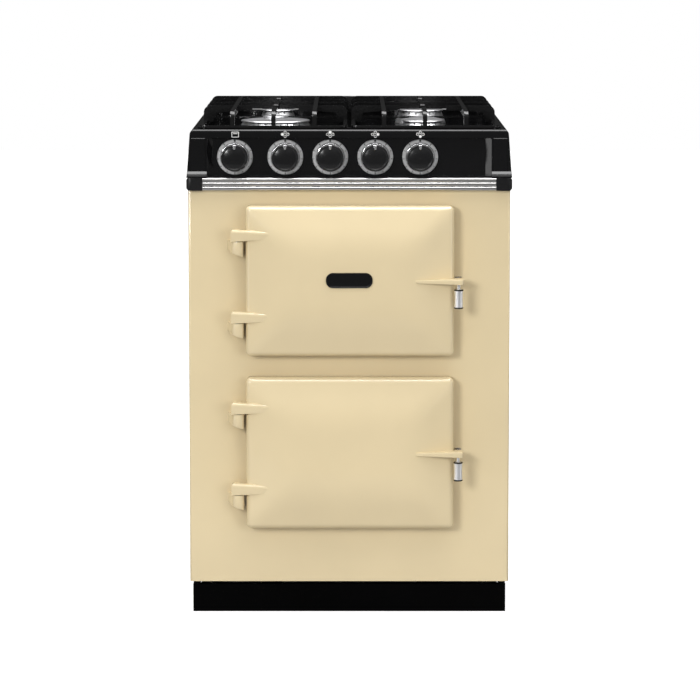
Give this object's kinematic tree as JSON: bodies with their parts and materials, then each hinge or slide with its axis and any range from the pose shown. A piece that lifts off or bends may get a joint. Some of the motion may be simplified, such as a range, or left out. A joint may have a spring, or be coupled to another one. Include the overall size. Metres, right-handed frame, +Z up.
{
  "type": "range cooker",
  "caption": "Cream enamelled range cooker with stacked hinged oven doors, black gas hob with cast pan supports, turn knobs on a sunk control panel and a black plinth.",
  "frame": {"origin": "on the floor under the middle of the cooker's overall box", "axes": "+Z up, front faces -Y, +X to the right seen from the front"},
  "size_m": [0.603, 0.66, 0.942],
  "materials": {
    "cream_enamel": "gloss vitreous enamel",
    "black_enamel": "gloss vitreous enamel",
    "cast_black": "satin enamelled casting",
    "bright_trim": "polished extrusion",
    "burner_alloy": "satin casting",
    "plated": "polished",
    "bezel_metal": "satin",
    "knob_black": "gloss",
    "cap_black": "satin",
    "side_paint": "semi-gloss paint",
    "galvanised": "spangled zinc",
    "oven_enamel": "speckled enamel",
    "wool": "mineral wool",
    "seal_rope": "woven glass rope",
    "brass_fitting": "machined",
    "white_ceramic": "glazed",
    "steel_pin": "machined",
    "liner_steel": "pressed sheet",
    "foot_rubber": "moulded"
  },
  "bodies": {
    "cabinet": {"front_plate": "cream_enamel", "left_side_panel": "side_paint", "right_side_panel": "side_paint", "back_panel": "galvanised", "base_tray": "galvanised", "plinth": "black_enamel", "levelling_feet": "galvanised", "upper_oven_liner": "oven_enamel", "lower_oven_liner": "oven_enamel", "oven_insulation": "wool", "shelf_runners": "plated", "oven_shelves": "plated", "oven_elements": "steel_pin", "hob_deck": "black_enamel", "hob_surround": "black_enamel", "control_fascia": "black_enamel", "spill_tray": "black_enamel", "front_trim": "bright_trim", "trim_end_caps": "cap_black", "burner_bases": "burner_alloy", "burner_caps": "burner_alloy", "spark_electrodes": "white_ceramic", "flame_probes": "steel_pin", "knob_bezels": "bezel_metal", "gas_taps": "brass_fitting", "gas_manifold": "bright_trim", "burner_feed_pipes": "bright_trim", "oven_thermostat": "galvanised", "hinge_pins": "steel_pin", "door_catches": "steel_pin", "gas_inlet": "brass_fitting", "terminal_cover": "cap_black", "panel_screws": "galvanised"},
    "upper_door_body": {"upper_door": "cream_enamel", "upper_door_liner": "liner_steel", "upper_door_insulation": "wool", "upper_door_seal": "seal_rope", "upper_door_handle": "plated", "badge_plate": "black_enamel"},
    "lower_door_body": {"lower_door": "cream_enamel", "lower_door_liner": "liner_steel", "lower_door_insulation": "wool", "lower_door_seal": "seal_rope", "lower_door_handle": "plated"},
    "oven_knob_body": {"oven_knob": "knob_black", "oven_knob_spindle": "steel_pin"},
    "front_left_push_body": {"front_left_push_rod": "brass_fitting"},
    "front_left_knob_body": {"front_left_knob": "knob_black", "front_left_spindle": "steel_pin"},
    "rear_left_push_body": {"rear_left_push_rod": "brass_fitting"},
    "rear_left_knob_body": {"rear_left_knob": "knob_black", "rear_left_spindle": "steel_pin"},
    "rear_right_push_body": {"rear_right_push_rod": "brass_fitting"},
    "rear_right_knob_body": {"rear_right_knob": "knob_black", "rear_right_spindle": "steel_pin"},
    "front_right_push_body": {"front_right_push_rod": "brass_fitting"},
    "front_right_knob_body": {"front_right_knob": "knob_black", "front_right_spindle": "steel_pin"},
    "left_pan_support_body": {"left_pan_support": "cast_black"},
    "right_pan_support_body": {"right_pan_support": "cast_black"}
  },
  "joints": [
    {"name": "upper_door_hinge", "type": "hinge", "parent": "cabinet", "child": "upper_door_body", "pos_m": [-0.2065, -0.298, 0.632], "axis": [0, 0, -1], "range_deg": [0, 150]},
    {"name": "lower_door_hinge", "type": "hinge", "parent": "cabinet", "child": "lower_door_body", "pos_m": [-0.2065, -0.298, 0.31], "axis": [0, 0, -1], "range_deg": [0, 150]},
    {"name": "oven_knob_turn", "type": "hinge", "parent": "cabinet", "child": "oven_knob_body", "pos_m": [-0.21194, -0.27, 0.857], "axis": [0, 1, 0], "range_deg": [0, 270]},
    {"name": "front_left_knob_push", "type": "slide", "parent": "cabinet", "child": "front_left_push_body", "axis": [0, 1, 0], "range_m": [0, 0.004], "stiffness_N_per_m": 700},
    {"name": "front_left_knob_turn", "type": "hinge", "parent": "front_left_push_body", "child": "front_left_knob_body", "pos_m": [-0.1185, -0.27, 0.857], "axis": [0, -1, 0], "range_deg": [0, 210]},
    {"name": "rear_left_knob_push", "type": "slide", "parent": "cabinet", "child": "rear_left_push_body", "axis": [0, 1, 0], "range_m": [0, 0.004], "stiffness_N_per_m": 700},
    {"name": "rear_left_knob_turn", "type": "hinge", "parent": "rear_left_push_body", "child": "rear_left_knob_body", "pos_m": [-0.03522, -0.27, 0.857], "axis": [0, -1, 0], "range_deg": [0, 210]},
    {"name": "rear_right_knob_push", "type": "slide", "parent": "cabinet", "child": "rear_right_push_body", "axis": [0, 1, 0], "range_m": [0, 0.004], "stiffness_N_per_m": 700},
    {"name": "rear_right_knob_turn", "type": "hinge", "parent": "rear_right_push_body", "child": "rear_right_knob_body", "pos_m": [0.04806, -0.27, 0.857], "axis": [0, -1, 0], "range_deg": [0, 210]},
    {"name": "front_right_knob_push", "type": "slide", "parent": "cabinet", "child": "front_right_push_body", "axis": [0, 1, 0], "range_m": [0, 0.004], "stiffness_N_per_m": 700},
    {"name": "front_right_knob_turn", "type": "hinge", "parent": "front_right_push_body", "child": "front_right_knob_body", "pos_m": [0.13134, -0.27, 0.857], "axis": [0, -1, 0], "range_deg": [0, 210]},
    {"name": "left_pan_support_lift", "type": "slide", "parent": "cabinet", "child": "left_pan_support_body", "axis": [0, 0, 1], "range_m": [0, 0.06]},
    {"name": "right_pan_support_lift", "type": "slide", "parent": "cabinet", "child": "right_pan_support_body", "axis": [0, 0, 1], "range_m": [0, 0.06]}
  ]
}
